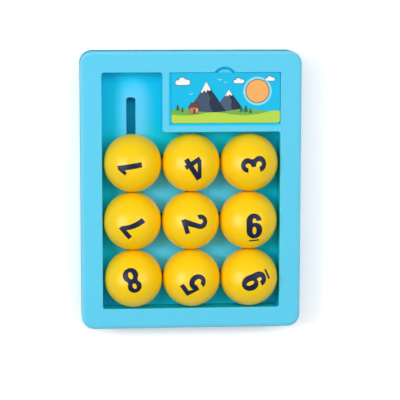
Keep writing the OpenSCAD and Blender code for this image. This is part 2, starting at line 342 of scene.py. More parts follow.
inner_sheen_share = maths(case_tree, "MAXIMUM", face_sheen_share, notch_sheen_share)
paint_light(case_plastic, maths(case_tree, "MAXIMUM", inner_sheen_share, edge_highlight_share))
pocket_rim = cornered([(-pocket_x, -pocket_y, pocket_r), (pocket_x, -pocket_y, pocket_r),
                       (pocket_x, panel_y, pocket_r), (panel_x, panel_y, panel_r),
                       (panel_x, pocket_y, pocket_r), (-pocket_x, pocket_y, pocket_r)])
panel_rim = cornered([(panel_card_x, panel_card_y, 0), (pocket_x, panel_card_y, 0), (pocket_x, pocket_y, 0),
                      (panel_card_x, pocket_y, 0)])
case_front = rimmed_copy("front_frame", "case_front",
                         [(pocket_rim, face_top, rim_round), (panel_rim, face_top, panel_round)],
                         case_plastic)
fit(case_front, "case", "case_plastic", "front_frame")

# Floor of the pocket: a flat moulded plate with the opening for the slots, held between the pocket walls
# and a rib of the back cover, and four square islands on posts that fill the middle of that opening.
floor_blue = (0.001, 0.625, 0.890, 1)
# Painted reflection colour, put on the plate along the run of the slot.
run_sheen_blue = (0.112, 0.620, 0.930, 1)
# Painted light colour, put on the island tops that show in the gaps between the balls.
island_lit_blue = (0.090, 0.615, 1.000, 1)
floor_edge = 0.25 * mm
rounding_steps = 3
floor_top = 8 * mm
slot_left, slot_right, slot_low, slot_end, slot_r = -27.5 * mm, -23.5 * mm, 14 * mm, 39.8 * mm, 1.3 * mm
slot_rim = cornered([(slot_left, slot_low, 0), (slot_right, slot_low, 0), (slot_right, slot_end, slot_r),
                     (slot_left, slot_end, slot_r)])
floor_paint_heights = (7.5 * mm, 7.95 * mm)
run_x, run_end_y = -24.1 * mm, 39.5 * mm
run_half_w, run_fade = 2.5 * mm, 7.2 * mm


def rounded_copy(node, name, edge, low, high, material):
    """Copy of a solid with its crisp edges rounded between two heights."""
    mesh = solid_copy(node)
    shape = bmesh.new()
    shape.from_mesh(mesh)
    weight = shape.edges.layers.float.new("bevel_weight_edge")
    for side in shape.edges:
        heights = [end.co.z for end in side.verts]
        shown = low <= min(heights) and max(heights) <= high
        side[weight] = 1.0 if shown and side.calc_face_angle() > crease else 0.0
    shape.to_mesh(mesh)
    shape.free()
    maker = add_piece(name + "_maker", mesh)
    bevel = maker.modifiers.new("rounding", "BEVEL")
    bevel.width = edge
    bevel.segments = rounding_steps
    bevel.limit_method = "WEIGHT"
    bevel.use_clamp_overlap = False
    return smoothed(name, plain_mesh(maker), material)


# The island tops are painted paler and bluer as painted light, standing in for light in the gaps between the
# balls.
island_plastic = blue_plastic("island_plastic", floor_blue, island_lit_blue)
island_tree = island_plastic.node_tree
paint_light(island_plastic, ramp(island_tree, plan_place(island_tree)[1], *floor_paint_heights))

# The plate is painted paler as a painted reflection along the slot's run into the free cell, where the foot
# of a ball runs, fading to the deep blue away from it. Short of the run's end only the distance to the side
# counts.
plate_plastic = blue_plastic("plate_plastic", floor_blue, run_sheen_blue)
plate_tree = plate_plastic.node_tree
plate_plan, plate_height = plan_place(plate_tree)
run_place = vectors(plate_tree, "SUBTRACT", plate_plan, (run_x, run_end_y, 0))
run_beyond = vectors(plate_tree, "MAXIMUM", run_place, (-1, 0, 0))
run_away = vectors(plate_tree, "LENGTH", run_beyond, out="Value")
run_sheen_share = ramp(plate_tree, run_away, run_half_w + run_fade, run_half_w)
plate_top = ramp(plate_tree, plate_height, *floor_paint_heights)
paint_light(plate_plastic, maths(plate_tree, "MULTIPLY", run_sheen_share, plate_top))
case_floor = rimmed_copy("track_plate", "case_floor", [(slot_rim, floor_top, floor_edge)], plate_plastic)
fit(case_floor, "case", "case_plastic", "track_plate")
for island in range(1, 5):
    floor_island = rounded_copy(f"track_island_{island}", f"floor_island_{island}", floor_edge,
                                floor_top - floor_edge, floor_top + floor_edge, island_plastic)
    fit(floor_island, "case", "case_plastic", f"track_island_{island}")

# Glides: flanged bushes of white acetal, turned from bar. Each rides in a slot under the plate and carries
# one ball on its neck. Eight are held by their neighbours at rest, and one can run into the free cell.
glide_white = (0.78, 0.80, 0.79, 1)
glide_shine = 0.5
glide_grain = 0.003 * mm
flange_r, flange_low, flange_high = 4.5 * mm, 4.4 * mm, 5.8 * mm
neck_r, neck_top = 1.4 * mm, 8.3 * mm
glide_bore_r = 0.85 * mm
glide_round = 0.2 * mm
glide_sides = 48
free_ball = "1"
ball_place = {joint["child"].removeprefix("ball_"): Vector(joint["pos_m"])
              for joint in frame["joints"] if joint.get("continuous")}

# Lathe: an outline of radius along X and height along Z, swept round the Z axis.
lathe, lathe_in, lathe_out = add_tree(
    "lathe", "GeometryNodeTree",
    [("Outline", "Geometry", None), ("Sides", "Int", 64)], [("Shape", "Geometry")])
lathe_circle = made(lathe, "GeometryNodeCurvePrimitiveCircle",
                    {"Resolution": lathe_in["Sides"], "Radius": 1.0})
lathe_path = made(lathe, "GeometryNodeSetCurveNormal", {"Curve": lathe_circle}, mode="Z_UP")
lathe_place = made(lathe, "GeometryNodeInputPosition")
lathe_point = add_node(lathe, "ShaderNodeSeparateXYZ", {"Vector": lathe_place}).outputs
lathe_reach = maths(lathe, "SUBTRACT", lathe_point["X"], 1.0)
lathe_drop = maths(lathe, "MULTIPLY", lathe_point["Z"], -1.0)
lathe_flat = made(lathe, "ShaderNodeCombineXYZ", {"X": lathe_reach, "Y": lathe_drop})
lathe_laid = made(lathe, "GeometryNodeSetPosition",
                  {"Geometry": lathe_in["Outline"], "Position": lathe_flat})
lathe_outline = made(lathe, "GeometryNodeMeshToCurve", {"Mesh": lathe_laid})
lathe_sweep = made(lathe, "GeometryNodeCurveToMesh", {"Curve": lathe_path, "Profile Curve": lathe_outline})
lathe_closed = made(lathe, "GeometryNodeMergeByDistance", {"Geometry": lathe_sweep, "Distance": 0.001 * mm})
lathe.links.new(lathe_closed, lathe_out["Shape"])


def turned_shape(tree, inputs):
    """Shape that the lathe makes of another tree's own outline, as a socket."""
    outline = made(tree, "GeometryNodeObjectInfo", {"Object": inputs["Outline"]}, "Geometry")
    return made(tree, "GeometryNodeGroup", {"Outline": outline, "Sides": inputs["Sides"]}, node_tree=lathe)


def set_at_places(tree, inputs, shape):
    """Shape set at every point of a tree's own places, as a socket."""
    return made(tree, "GeometryNodeInstanceOnPoints", {"Points": inputs["Places"], "Instance": shape})


def end_tree(tree, inputs, shape, output):
    """End of a geometry tree: what it makes is realized and gets the tree's own material."""
    real = made(tree, "GeometryNodeRealizeInstances", {"Geometry": shape})
    whole = made(tree, "GeometryNodeSetMaterial", {"Geometry": real, "Material": inputs["Material"]})
    tree.links.new(whole, output)


# Turned pieces: one turned shape, set at every point of the tree's own geometry.
turned, turned_in, turned_out = add_tree(
    "turned_pieces", "GeometryNodeTree",
    [("Places", "Geometry", None), ("Outline", "Object", None), ("Sides", "Int", 64),
     ("Material", "Material", None)],
    [("Pieces", "Geometry")])
turned_set = set_at_places(turned, turned_in, turned_shape(turned, turned_in))
end_tree(turned, turned_in, turned_set, turned_out["Pieces"])


def point_mesh(name, points, joined=False):
    """Mesh of bare points, joined in a line where they are an outline."""
    mesh = bpy.data.meshes.new(name)
    lines = [(i, i + 1) for i in range(len(points) - 1)] if joined else []
    mesh.from_pydata(points, lines, [])
    return mesh


def grown(name, source, tree, values):
    """Plain piece that a geometry tree makes from a mesh or a curve, with the tree's named inputs set."""
    maker = add_piece(name + "_maker", source)
    modifier = maker.modifiers.new("tree", "NODES")
    modifier.node_group = tree
    for item in tree.interface.items_tree:
        if item.in_out == "INPUT" and item.name in values:
            modifier[item.identifier] = values[item.name]
    mesh = plain_mesh(maker)
    mesh.shade_smooth()
    mesh.set_sharp_from_angle(angle=crease)
    return add_piece(name, mesh)


def turned_piece(name, outline, places, tree, values):
    """Piece of one or more equal turned shapes; outline is (radius, height) from the top down."""
    line = add_piece(name + "_line", point_mesh(name, [(r, 0, z) for r, z in outline], joined=True))
    piece = grown(name, point_mesh(name, places), tree, {**values, "Outline": line})
    bpy.data.objects.remove(line)
    return piece


glide_outline = [(glide_bore_r, neck_top), (neck_r - glide_round, neck_top)]
glide_outline += [(neck_r, neck_top - glide_round), (neck_r, flange_high + glide_round)]
glide_outline += [(neck_r + glide_round, flange_high)]
glide_outline += arc(flange_r - glide_round, flange_high - glide_round, glide_round, glide_round, 90, 0, 4)
glide_outline += arc(flange_r - glide_round, flange_low + glide_round, glide_round, glide_round, 0, -90, 4)
glide_outline += [(glide_bore_r, flange_low), (glide_bore_r, neck_top)]
glide_acetal = dressed("glide_acetal", skin,
                       {"Colour": glide_white, "Tint": 0.2, "Roughness": 0.38, "Spread": 0.15},
                       glide_shine, glide_grain)
glide_values = {"Sides": glide_sides, "Material": glide_acetal}
held_balls = [number for number in ball_place if number != free_ball]
held_places = [(ball_place[number].x, ball_place[number].y, 0) for number in held_balls]
held_glides = turned_piece("held_glides", glide_outline, held_places, turned, glide_values)
fit(held_glides, "case", "glide_acetal", *[f"glide_{number}" for number in held_balls])
free_place = [(ball_place[free_ball].x, ball_place[free_ball].y, 0)]
free_glide = turned_piece("free_glide", glide_outline, free_place, turned, glide_values)
fit(free_glide, f"glide_{free_ball}", "glide_acetal", f"glide_{free_ball}")

# Balls: polished golden-yellow plastic, moulded hollow with a flat ring to stand on and a boss inside for
# the pivot screw. Each turns on its glide.
ball_yellow = (0.985, 0.640, 0.006, 1)
ball_shine = 0.22
ball_grain = 0.002 * mm
print_t = 0.03 * mm
ball_r = 12.5 * mm - print_t
ball_seat = -5.3 * mm
core_r, core_top = 8.52 * mm, 6.47 * mm
boss_r, boss_low = 3 * mm, -5.1 * mm
bore_r, bore_top = 0.85 * mm, 0.4 * mm
foot_round = 0.35 * mm
foot_in, foot_up = 0.2 * foot_round, 0.15 * foot_round
ball_sides = 128
ball_rows = 64
foot_angle = degrees(asin((ball_seat + foot_round) / ball_r))
foot_r = sqrt(ball_r ** 2 - ball_seat ** 2)
ball_outline = [(0, ball_r)] + arc(0, 0, ball_r, ball_r, 90, foot_angle, ball_rows)[1:]
ball_outline += [(foot_r - foot_in, ball_seat + foot_up), (foot_r - foot_round, ball_seat)]
ball_outline += [(core_r + foot_round, ball_seat), (core_r, ball_seat + foot_round), (core_r, core_top)]
ball_outline += [(boss_r, core_top), (boss_r, boss_low + foot_round), (boss_r - foot_round, boss_low)]
ball_outline += [(bore_r, boss_low), (bore_r, bore_top), (0, bore_top)]
ball_plastic = dressed("ball_plastic", skin,
                       {"Colour": ball_yellow, "Tint": 0.06, "Roughness": 0.26, "Spread": 0.10},
                       ball_shine, ball_grain)
ball_values = {"Sides": ball_sides, "Material": ball_plastic}
for number, place in ball_place.items():
    ball = turned_piece(f"turned_ball_{number}", ball_outline, [tuple(place)], turned, ball_values)
    fit(ball, f"ball_{number}", "ball_plastic", f"ball_{number}")

# Numerals: dark blue pad print on the top of each ball, a bold plain face. The pad is pressed straight down,
# so an outline is projected along Z onto the ball, and a 6 and a 9 have a bar under them to tell them apart.
numeral_blue = (0.002, 0.011, 0.052, 1)
ink_shine = 0.15
ink_spread = 0.12
numeral_grain = 0.001 * mm
print_sink = 0.02 * mm
six_bowl = (arc(0.05, 2.15, 3.3, 3.35, 2, 180) + arc(0, -1.9, 3.4, 3.6, 180, 360)
            + arc(0.5, -1.45, 2.9, 3.0, 0, 108) + arc(0.2, 2.3, 0.8, 1.15, 185, -5))
six_eye = arc(0, -1.85, 0.85, 1.75, 0, 360, 24)[:-1]
six_bar = [(-2.4, -6.8), (2.0, -6.8), (2.0, -6.1), (-2.4, -6.1)]
nine_bar = [(-2.3, -6.85), (2.3, -6.85), (2.3, -6.05), (-2.3, -6.05)]
numeral_paths = {
    "1": [[(2.25, -5.1), (2.25, 5.1), (0.55, 5.1), (-2.25, 2.7), (-1.3, 1.7), (-0.1, 2.45), (-0.1, -5.1)]],
    "2": [arc(0, 2.3, 3.1, 3.0, 190, -28, 20)
          + [(-0.1, -3.3), (3.2, -3.3), (3.2, -5.25), (-3.2, -5.25), (-3.2, -3.5)]
          + arc(-0.1, 2.4, 1.0, 1.1, -30, 190, 12)],
    "3": [arc(0, 2.55, 3.1, 2.9, 178, -38, 18) + arc(0, -2.45, 3.4, 2.95, 42, -180, 18)
          + arc(0, -2.3, 1.1, 1.2, -180, 75, 10) + [(-0.9, -0.75), (-0.9, 0.95)]
          + arc(-0.1, 2.45, 1.0, 1.1, -70, 178, 10)],
    "4": [[(0.6, -5.2), (2.8, -5.2), (2.8, -3.2), (3.85, -3.2), (3.85, -1.25), (2.8, -1.25), (2.8, 5.2),
           (0.5, 5.2), (-3.45, -1.15), (-3.45, -3.2), (0.6, -3.2)],
          [(0.6, -1.25), (-1.45, -1.25), (0.6, 2.2)]],
    "5": [[(2.9, 5.4), (-2.5, 5.4), (-3.1, -0.6), (-1.0, -0.8)]
          + arc(0.05, -1.95, 1.15, 1.55, 130, -158, 14)
          + arc(0, -1.75, 3.4, 3.65, -168, 118, 22) + [(-0.8, 3.4), (2.9, 3.4)]],
    "6": [six_bowl, six_eye, six_bar],
    "7": [[(-3.15, 5.15), (3.15, 5.15), (3.15, 3.45), (2.4, 2.3), (1.8, 1.15), (1.3, -0.1), (0.87, -1.5),
           (0.5, -3.2), (0.3, -5.15), (-2.1, -5.15), (-1.9, -3.5), (-1.6, -1.9), (-1.15, -0.35),
           (-0.55, 1.15), (0.05, 2.3), (0.65, 3.15), (-3.15, 3.15)]],
    "8": [arc(0, 2.6, 3.0, 2.8, -42, 222, 24) + arc(0, -2.4, 3.35, 3.0, 133, 407, 24),
          arc(0, 2.45, 0.85, 1.25, 0, 360, 20)[:-1], arc(0, -2.3, 0.95, 1.5, 0, 360, 20)[:-1]],
    "9": [[(-u, -v) for u, v in six_bowl], [(-u, -v) for u, v in six_eye], nine_bar],
}
# Each numeral's turn in degrees and its shift off the top of the ball in millimetres.
numeral_set = {
    "1": (100.0, -1.42, -1.30), "2": (-72.1, 1.17, 0.34), "3": (96.9, 0.75, 0.22),
    "4": (-147.3, 1.30, -0.70), "5": (124.9, 0.34, -0.94), "6": (3.7, 1.28, -1.11),
    "7": (130.1, -0.18, -0.59), "8": (201.1, -0.90, 1.12), "9": (115.1, 1.01, 0.14),
}

# Ink: a thin print whose cloudy cover lets a little of what is under it show, with a fine grain.
ink, ink_in, ink_out = add_tree(
    "printed_ink", "ShaderNodeTree",
    [("Colour", "Color", white), ("Under", "Color", white), ("Cloud", "Float", 0.15),
     ("Roughness", "Float", 0.35)],
    [("Colour", "Color"), ("Roughness", "Float"), ("Height", "Float")])
ink_place = own_place(ink)
ink_cover = noise(ink, ink_place, scale=900, detail=4)
ink_grain = noise(ink, ink_place, scale=3200, detail=2)
ink_share = maths(ink, "MULTIPLY", ink_cover, ink_in["Cloud"])
ink_colour = mixed(ink, ink_share, ink_in["Colour"], ink_in["Under"])
ink_gloss = maths(ink, "MULTIPLY_ADD", ink_cover, ink_spread, ink_in["Roughness"])
ink.links.new(ink_colour, ink_out["Colour"])
ink.links.new(ink_gloss, ink_out["Roughness"])
ink.links.new(ink_grain, ink_out["Height"])

# Film: a surface given a thickness along its normals, as a closed shell.
film, film_in, film_out = add_tree(
    "film", "GeometryNodeTree",
    [("Surface", "Geometry", None), ("Thickness", "Float", 0.1 * mm)], [("Shell", "Geometry")])
film_top = made(film, "GeometryNodeExtrudeMesh",
                {"Mesh": film_in["Surface"], "Offset Scale": film_in["Thickness"], "Individual": False})
film_under = made(film, "GeometryNodeFlipFaces", {"Mesh": film_in["Surface"]})
film_both = made(film, "GeometryNodeJoinGeometry", {"Geometry": [film_top, film_under]})
film_closed = made(film, "GeometryNodeMergeByDistance", {"Geometry": film_both, "Distance": 0.0005 * mm})
film.links.new(film_closed, film_out["Shell"])


def filmed(tree, inputs, surface):
    """Surface with a tree's own thickness of film on it, as a socket."""
    return made(tree, "GeometryNodeGroup", {"Surface": surface, "Thickness": inputs["Thickness"]},
                node_tree=film)


# Pad print: outlines filled, turned and shifted, laid on a ball and given the film's thickness.
pad, pad_in, pad_out = add_tree(
    "pad_print", "GeometryNodeTree",
    [("Outlines", "Geometry", None), ("Ball Radius", "Float", ball_r), ("Turn", "Float", 0.0),
     ("Shift", "Vector", (0, 0, 0)), ("Place", "Vector", (0, 0, 0)), ("Thickness", "Float", print_t),
     ("Material", "Material", None)],
    [("Print", "Geometry")])
pad_fill = made(pad, "GeometryNodeFillCurve", {"Curve": pad_in["Outlines"]})
pad_fine = made(pad, "GeometryNodeSubdivideMesh", {"Mesh": pad_fill, "Level": 3})
pad_point = made(pad, "GeometryNodeInputPosition")
pad_turned = made(pad, "ShaderNodeVectorRotate", {"Vector": pad_point, "Angle": pad_in["Turn"]},
                  rotation_type="Z_AXIS")
pad_shifted = vectors(pad, "ADD", pad_turned, pad_in["Shift"])
pad_reach = vectors(pad, "DOT_PRODUCT", pad_shifted, pad_shifted, out="Value")
pad_square = maths(pad, "POWER", pad_in["Ball Radius"], 2.0)
pad_height = maths(pad, "SQRT", maths(pad, "SUBTRACT", pad_square, pad_reach))
pad_up = made(pad, "ShaderNodeCombineXYZ", {"Z": pad_height})
pad_on = vectors(pad, "ADD", pad_shifted, pad_up)
pad_there = vectors(pad, "ADD", pad_on, pad_in["Place"])
pad_laid = made(pad, "GeometryNodeSetPosition", {"Geometry": pad_fine, "Position": pad_there})
end_tree(pad, pad_in, filmed(pad, pad_in, pad_laid), pad_out["Print"])


def flat_curve(name, paths):
    """Flat curve of closed outlines given in millimetres."""
    curve = bpy.data.curves.new(name, "CURVE")
    curve.dimensions = "2D"
    curve.fill_mode = "NONE"
    for path in paths:
        spline = curve.splines.new("POLY")
        spline.points.add(len(path) - 1)
        for point, (u, v) in zip(spline.points, path):
            point.co = (u * mm, v * mm, 0, 1)
        spline.use_cyclic_u = True
    return curve


numeral_ink = dressed("numeral_ink", ink,
                      {"Colour": numeral_blue, "Under": ball_yellow, "Cloud": 0.015, "Roughness": 0.34},
                      ink_shine, numeral_grain)
for number, (turn, shift_x, shift_y) in numeral_set.items():
    numeral = grown(f"numeral_{number}", flat_curve("numeral_" + number, numeral_paths[number]), pad,
                    {"Ball Radius": ball_r - print_sink, "Turn": radians(turn),
                     "Shift": (shift_x * mm, shift_y * mm, 0), "Place": tuple(ball_place[number]),
                     "Thickness": print_t + print_sink, "Material": numeral_ink})
    fit(numeral, f"ball_{number}", "ball_plastic")

# Pivot screws: small zinc-plated steel screws with a round head and a cross recess. Each goes up through a
# glide into its ball's boss, so that the ball can turn but not lift off.
zinc_grey, zinc_dark = (0.60, 0.61, 0.63, 1), (0.50, 0.51, 0.53, 1)
zinc_gloss, zinc_spread = 0.20, 0.25
thread_pitch = 0.5 * mm
thread_bead = 0.12 * mm
recess_w, recess_depth, recess_share = 0.6 * mm, 0.6 * mm, 0.62
head_share, tip_share = 0.35, 0.4
screw_sides = 32

# Screws: a turned screw with a cross cut into its head and a thread round its shank, set at every point.
screws, screws_in, screws_out = add_tree(
    "cross_screws", "GeometryNodeTree",
    [("Places", "Geometry", None), ("Outline", "Object", None), ("Sides", "Int", 32),
     ("Head Base", "Float", 0.0), ("Recess Span", "Float", 2.5 * mm), ("Recess Width", "Float", recess_w),
     ("Recess Depth", "Float", recess_depth), ("Thread Base", "Float", 0.0),
     ("Thread Height", "Float", 5 * mm), ("Thread Radius", "Float", 1 * mm),
     ("Thread Pitch", "Float", thread_pitch), ("Thread Bead", "Float", thread_bead),
     ("Material", "Material", None)],
    [("Screws", "Geometry")])
screws_cut_h = maths(screws, "MULTIPLY", screws_in["Recess Depth"], 2.0)
screws_base = made(screws, "ShaderNodeCombineXYZ", {"Z": screws_in["Head Base"]})
screws_arms = []
for axis, across in (("X", "Y"), ("Y", "X")):
    arm_size = made(screws, "ShaderNodeCombineXYZ",
                    {axis: screws_in["Recess Span"], across: screws_in["Recess Width"], "Z": screws_cut_h})
    arm = made(screws, "GeometryNodeMeshCube", {"Size": arm_size})
    screws_arms.append(made(screws, "GeometryNodeTransform", {"Geometry": arm, "Translation": screws_base}))
screws_cut = made(screws, "GeometryNodeMeshBoolean", {0: turned_shape(screws, screws_in), 1: screws_arms},
                  operation="DIFFERENCE", solver="EXACT")
screws_turns = maths(screws, "DIVIDE", screws_in["Thread Height"], screws_in["Thread Pitch"])
screws_helix = made(screws, "GeometryNodeCurveSpiral",
                    {"Resolution": 24, "Rotations": screws_turns, "Start Radius": screws_in["Thread Radius"],
                     "End Radius": screws_in["Thread Radius"], "Height": screws_in["Thread Height"]})
screws_ridge = made(screws, "GeometryNodeCurvePrimitiveCircle",
                    {"Resolution": 6, "Radius": screws_in["Thread Bead"]})
screws_thread = made(screws, "GeometryNodeCurveToMesh",
                     {"Curve": screws_helix, "Profile Curve": screws_ridge, "Fill Caps": True})
screws_rise = made(screws, "ShaderNodeCombineXYZ", {"Z": screws_in["Thread Base"]})
screws_wound = made(screws, "GeometryNodeTransform", {"Geometry": screws_thread, "Translation": screws_rise})
screws_whole = made(screws, "GeometryNodeJoinGeometry", {"Geometry": [screws_cut, screws_wound]})
end_tree(screws, screws_in, set_at_places(screws, screws_in, screws_whole), screws_out["Screws"])

screw_steel = bpy.data.materials.new("screw_steel")
screw_steel.use_nodes = True
steel_tree = screw_steel.node_tree
steel = steel_tree.nodes["Principled BSDF"].inputs
steel["Metallic"].default_value = 1.0
steel_cloud = noise(steel_tree, own_place(steel_tree), scale=500, detail=4)
steel_tree.links.new(mixed(steel_tree, steel_cloud, zinc_dark, zinc_grey), steel["Base Color"])
steel_gloss = maths(steel_tree, "MULTIPLY_ADD", steel_cloud, zinc_spread, zinc_gloss)
steel_tree.links.new(steel_gloss, steel["Roughness"])


def screw_piece(name, places, head_r, head_low, head_high, shank_r, tip):
    """Equal screws that point up; heights are in the object's frame, and the thread stays in the shank."""
    core = shank_r - thread_bead
    head_round = head_share * (head_high - head_low)
    outline = [(0, tip), (tip_share * core, tip), (core, tip - core), (core, head_high), (head_r, head_high)]
    outline += arc(head_r - head_round, head_low + head_round, head_round, head_round, 0, -90, 6)
    outline += [(0, head_low)]
    thread_base = head_high + 2 * thread_bead
    return turned_piece(name, outline, places, screws,
                        {"Sides": screw_sides, "Head Base": head_low,
                         "Recess Span": recess_share * 2 * head_r, "Recess Width": recess_w,
                         "Recess Depth": recess_depth, "Thread Base": thread_base,
                         "Thread Height": tip - core - thread_base, "Thread Radius": core,
                         "Thread Pitch": thread_pitch, "Thread Bead": thread_bead, "Material": screw_steel})


pivot_head_r, pivot_head_low, pivot_head_high = 2 * mm, 3.1 * mm, 4.3 * mm
pivot_shank_r, pivot_tip = 0.8 * mm, 13.4 * mm
for number, place in ball_place.items():
    pivot = screw_piece(f"pivot_{number}", [(place.x, place.y, 0)], pivot_head_r, pivot_head_low,
                        pivot_head_high, pivot_shank_r, pivot_tip)
    fit(pivot, f"ball_{number}", "screw_steel", f"pivot_screw_{number}")

# Back cover: the lower half of the case, moulded in the same blue, with a rib that carries the pocket's
# floor. Its lip goes into the front frame, and ten screws in wells in its underside close the case.
case_back = smoothed("case_back", solid_copy("back_cover"), case_plastic)
fit(case_back, "case", "case_plastic", "back_cover")

# Case and island screws: zinc-plated steel, round heads sunk in the wells of the back cover. Six hold the
# front frame by its bosses, and four shorter ones hold the posts of the islands.
well_head_r, well_head_low, well_head_high, well_shank_r = 2.1 * mm, 0.2 * mm, 1.2 * mm, 1 * mm
well_screw = (well_head_r, well_head_low, well_head_high, well_shank_r)
case_screw_x, case_screw_y, case_screw_tip = 42.875 * mm, 55.5 * mm, 8 * mm
case_places = [(x, y, 0) for x in (-case_screw_x, case_screw_x) for y in (-case_screw_y, 0, case_screw_y)]
case_set = screw_piece("case_screw_set", case_places, *well_screw, case_screw_tip)
fit(case_set, "case", "screw_steel", "case_screws")
island_x, island_low_y, island_tip = 12.75 * mm, -25.5 * mm, 4.6 * mm
island_places = [(x, y, 0) for x in (-island_x, island_x) for y in (island_low_y, 0)]
island_set = screw_piece("island_screw_set", island_places, *well_screw, island_tip)
fit(island_set, "case", "screw_steel", "island_screws")

# Picture card: a loose cyan board in the panel, screen printed in flat inks with a plain landscape and thin
# dark outlines. A fingertip lifts it at the thumb notch.
board_cyan = (0.003, 0.470, 0.770, 1)
key_dark = (0.008, 0.014, 0.040, 1)
card_grain = 0.002 * mm
board_edge = 0.12 * mm
print_inset, card_round = 0.06, 0.74
layer_t = 0.015 * mm
key_line = 0.2 * mm
board_plastic = dressed("card_board", skin,
                        {"Colour": board_cyan, "Tint": 0.15, "Roughness": 0.45, "Spread": 0.15},
                        case_shine, case_grain)
card_low, card_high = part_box("picture_card")
card_board = rounded_copy("picture_card", "card_board", board_edge, card_low.z - board_edge,
                          card_high.z + board_edge, board_plastic)
fit(card_board, "picture_card", "card_print", "picture_card")

# Flat print: outlines filled with a film of ink at one height on the card.
flat, flat_in, flat_out = add_tree(
    "flat_print", "GeometryNodeTree",
    [("Outlines", "Geometry", None), ("Place", "Vector", (0, 0, 0)), ("Thickness", "Float", 0.1 * mm),
     ("Material", "Material", None)],
    [("Print", "Geometry")])
flat_fill = made(flat, "GeometryNodeFillCurve", {"Curve": flat_in["Outlines"]})
flat_set = made(flat, "GeometryNodeTransform",
                {"Geometry": filmed(flat, flat_in, flat_fill), "Translation": flat_in["Place"]})
end_tree(flat, flat_in, flat_set, flat_out["Print"])

# Line print: outlines drawn as a flat line of one width.
line, line_in, line_out = add_tree(
    "line_print", "GeometryNodeTree",
    [("Outlines", "Geometry", None), ("Place", "Vector", (0, 0, 0)), ("Thickness", "Float", 0.1 * mm),
     ("Line Width", "Float", 0.2 * mm), ("Material", "Material", None)],
    [("Print", "Geometry")])
line_path = made(line, "GeometryNodeSetCurveNormal", {"Curve": line_in["Outlines"]}, mode="Z_UP")
line_height = maths(line, "MULTIPLY", line_in["Thickness"], 2.0)
line_section = made(line, "GeometryNodeCurvePrimitiveQuadrilateral",
                    {"Width": line_in["Line Width"], "Height": line_height})
line_sweep = made(line, "GeometryNodeCurveToMesh",
                  {"Curve": line_path, "Profile Curve": line_section, "Fill Caps": True})
line_set = made(line, "GeometryNodeTransform", {"Geometry": line_sweep, "Translation": line_in["Place"]})
end_tree(line, line_in, line_set, line_out["Print"])

# The landscape's outlines, in millimetres from the middle of the card.
half_w = (card_high.x - card_low.x) / 2 / mm - print_inset
half_h = (card_high.y - card_low.y) / 2 / mm - print_inset


def wave(low, swells, steps=60):
    """Height along the card: a level with swells added, each (height, middle, reach)."""
    across = [-half_w + 2 * half_w * i / steps for i in range(steps + 1)]
    rises = [sum(h / (1 + ((u - middle) / reach) ** 2) for h, middle, reach in swells) for u in across]
    return [(u, low + rise) for u, rise in zip(across, rises)]


def placed(path, spots):
    """One outline drawn at several spots, each (across, up, size)."""
    return [[(u + size * x, v + size * y) for x, y in path] for u, v, size in spots]


def box_path(left, low, right, high):
    """Outline of an upright rectangle."""
    return [(left, low), (right, low), (right, high), (left, high)]


sky = cornered([(half_w, half_h, card_round), (-half_w, half_h, card_round),
                (-half_w, -half_h, card_round), (half_w, -half_h, card_round)])
ground_line = [(half_w, -half_h + card_round), (half_w - card_round, -half_h)]
ground_line += [(-half_w + card_round, -half_h), (-half_w, -half_h + card_round)]
sun_halo = arc(13.6, 2.9, 6.1, 6.1, 0, 360, 48)[:-1]
sun_disc = arc(13.6, 2.9, 5.0, 5.0, 0, 360, 48)[:-1]
peak_one = [(-18.6, -8), (-12.6, -0.2), (-10.9, 2.4), (-8.4, 7.2), (-6.4, 3.6), (-4.6, 1.2), (1.6, -8)]
peak_two = [(-6.8, -8), (-2.4, -1.6), (-0.6, 0.8), (1.2, 3.7), (2.9, 1.4), (4.3, -0.4), (9.8, -8)]
shade_one = peak_one[3:] + [(-4.8, -8), (-7.2, -2.6), (-6.7, 0.2), (-8.0, 2.8)]
shade_two = peak_two[3:] + [(4.6, -8), (2.2, -3.6), (2.5, -1.2), (1.5, 0.9)]
snow_one = peak_one[2:5] + [(-7.2, 2.7), (-7.7, 3.6), (-8.5, 2.2), (-9.3, 3.2), (-10.0, 2.1)]
snow_two = peak_two[2:5] + [(2.2, 0.8), (1.7, 1.5), (1.0, 0.5), (0.4, 1.2), (-0.1, 0.5)]
back_hill = wave(-7.6, [(3.0, -19, 7), (2.6, 8, 9), (1.2, 23, 6)]) + ground_line
front_hill = wave(-9.0, [(2.6, -5, 9), (3.2, 21, 7), (1.3, -23, 5)]) + ground_line
cloud = (arc(-1.9, 0.9, 1.0, 1.0, 270, 95, 10) + arc(-0.3, 1.5, 1.4, 1.4, 165, 30, 10)
         + arc(1.7, 1.0, 1.1, 1.1, 95, -90, 12))
clouds = placed(cloud, [(-18.4, 5.6, 1.15), (5.6, 6.2, 0.85), (19.0, 7.2, 0.75)])
bird = [(-1.5, 0.45), (-0.9, 0.62), (-0.35, 0.35), (0, 0), (0.35, 0.35), (0.9, 0.62), (1.5, 0.45),
        (0.95, 0.38), (0.45, 0.12), (0, -0.32), (-0.45, 0.12), (-0.95, 0.38)]
birds = placed(bird, [(-2.6, 7.6, 0.75), (-0.2, 6.5, 0.55), (-14.8, 1.6, 0.6), (8.0, 2.2, 0.5)])
fir_side = [(0.18, 0), (0.18, 0.5), (1.0, 0.5), (0.5, 1.25), (0.8, 1.25), (0.35, 2.0), (0.55, 2.0)]
fir = fir_side + [(0, 3.0)] + [(-x, y) for x, y in reversed(fir_side)]
firs = placed(fir, [(-20.6, -5.6, 1.0), (-18.6, -6.2, 0.8), (6.6, -6.3, 0.9), (8.6, -6.5, 1.15),
                    (10.6, -6.8, 0.8)])
hut_wall = box_path(-15.4, -6.6, -11.8, -3.9)
hut_roof = [(-16.1, -4.0), (-14.9, -2.0), (-12.3, -2.0), (-11.1, -4.0)]
hut_door = box_path(-14.0, -6.6, -13.0, -4.7)
hut_light = box_path(-12.7, -5.6, -12.0, -4.8)
